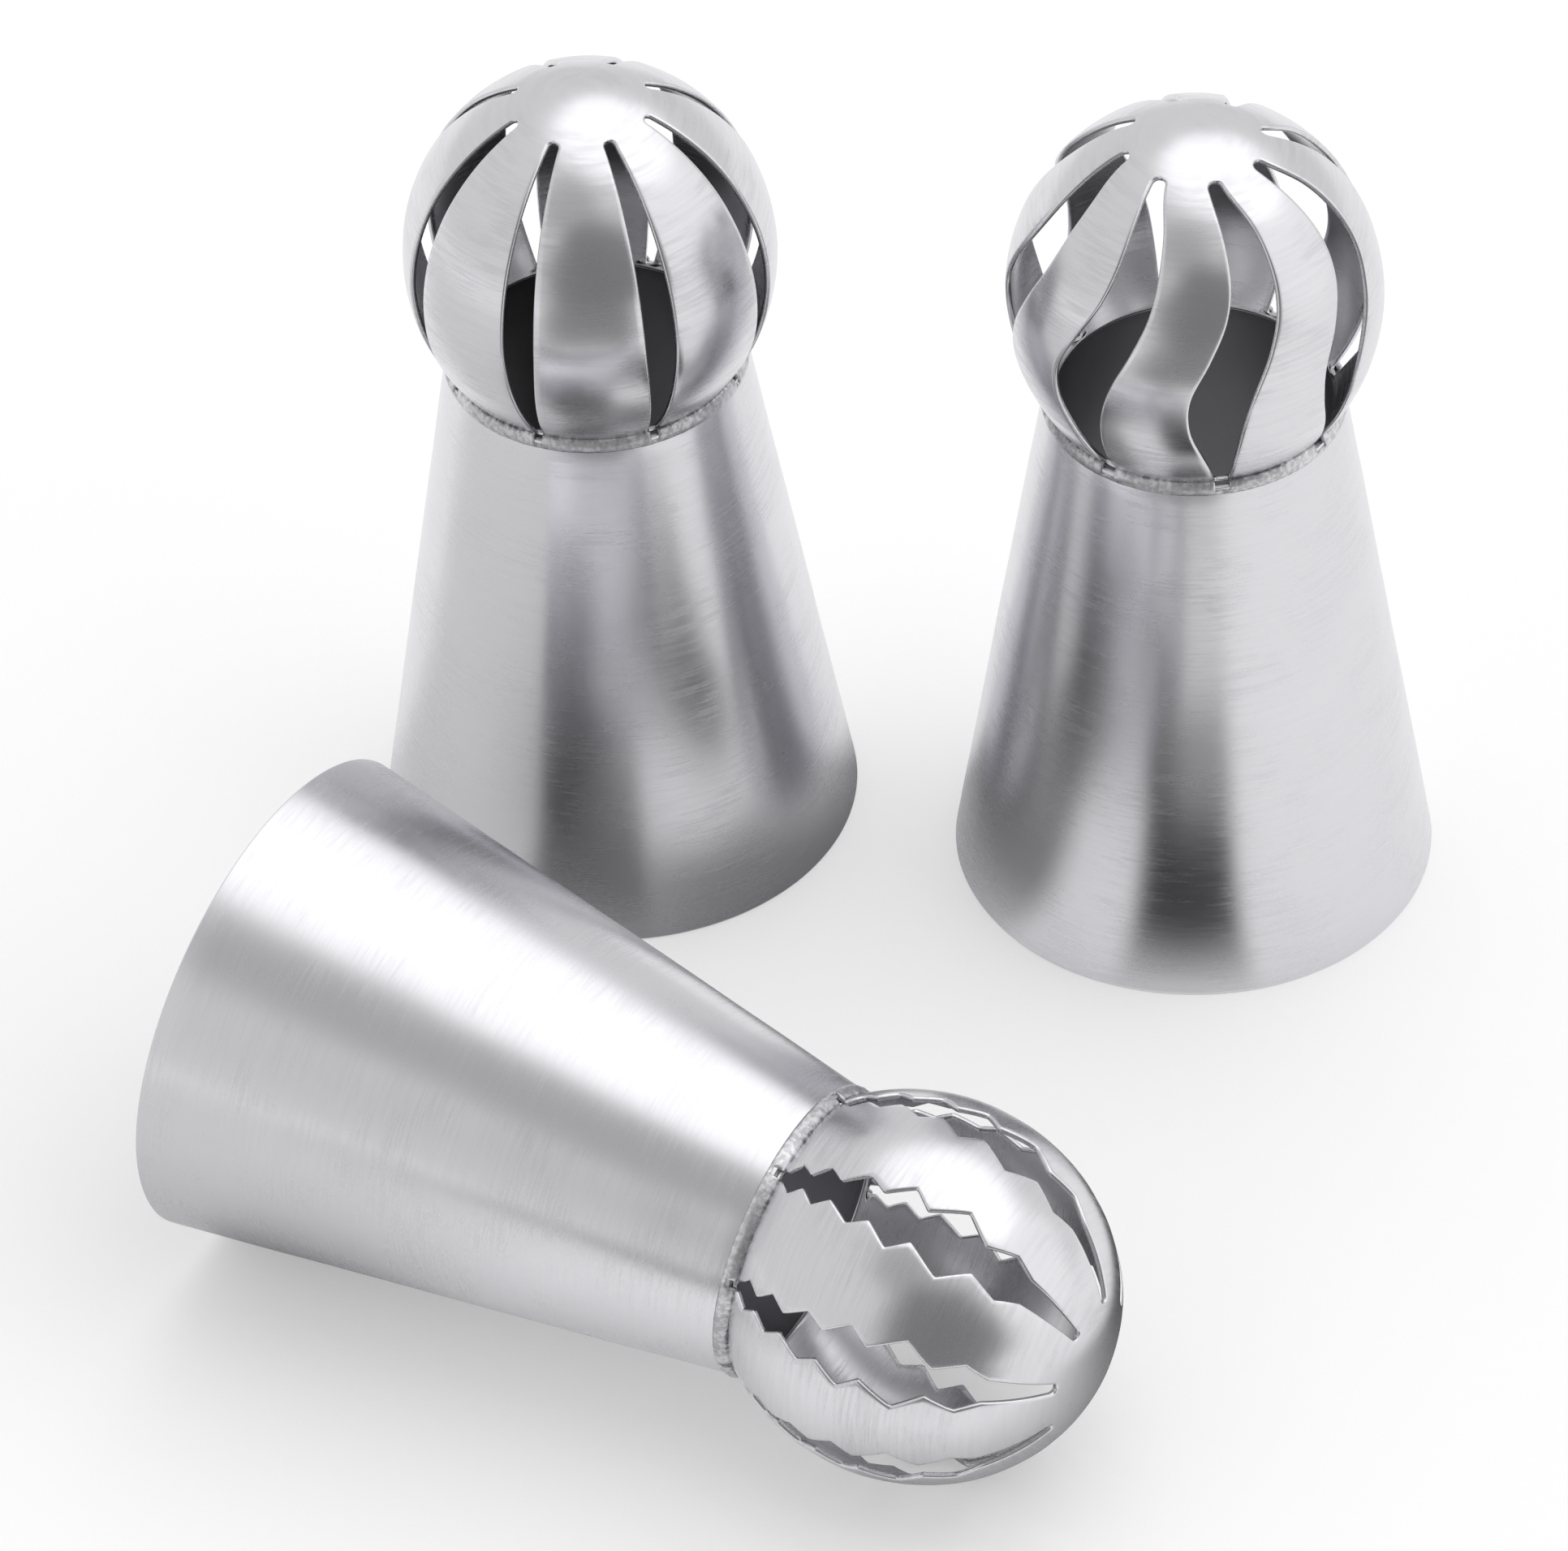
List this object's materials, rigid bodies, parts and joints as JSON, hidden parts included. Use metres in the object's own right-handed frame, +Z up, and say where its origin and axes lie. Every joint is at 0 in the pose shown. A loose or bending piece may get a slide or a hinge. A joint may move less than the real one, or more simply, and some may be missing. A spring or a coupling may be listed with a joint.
{
  "type": "piping nozzle set",
  "caption": "Stainless steel piping nozzles with tapered skirts and slotted ball tips, cut with straight, wavy and zigzag slots, for pressing icing into flower shapes.",
  "frame": {"origin": "on the table, under the middle of the whole set", "axes": "+Z up from the table; +Y away from the viewer of the picture, along the longer side of the set; +X to the right"},
  "size_m": [0.0846, 0.0892, 0.0593],
  "materials": {
    "brushed_sheet": "brushed stainless steel sheet, satin",
    "satin_sheet": "satin stainless steel sheet",
    "weld_metal": "rough stainless weld bead"
  },
  "bodies": {
    "straight_nozzle": {"straight_skirt": "brushed_sheet", "straight_ball": "satin_sheet", "straight_weld": "weld_metal"},
    "wave_nozzle": {"wave_skirt": "brushed_sheet", "wave_ball": "satin_sheet", "wave_weld": "weld_metal"},
    "zigzag_nozzle": {"zigzag_skirt": "brushed_sheet", "zigzag_ball": "satin_sheet", "zigzag_weld": "weld_metal"}
  },
  "joints": [
    {"name": "wave_nozzle_lift", "type": "slide", "parent": "straight_nozzle", "child": "wave_nozzle", "axis": [0, 0, 1], "range_m": [0, 0.08]},
    {"name": "zigzag_nozzle_lift", "type": "slide", "parent": "straight_nozzle", "child": "zigzag_nozzle", "axis": [0, 0, 1], "range_m": [0, 0.08]}
  ]
}
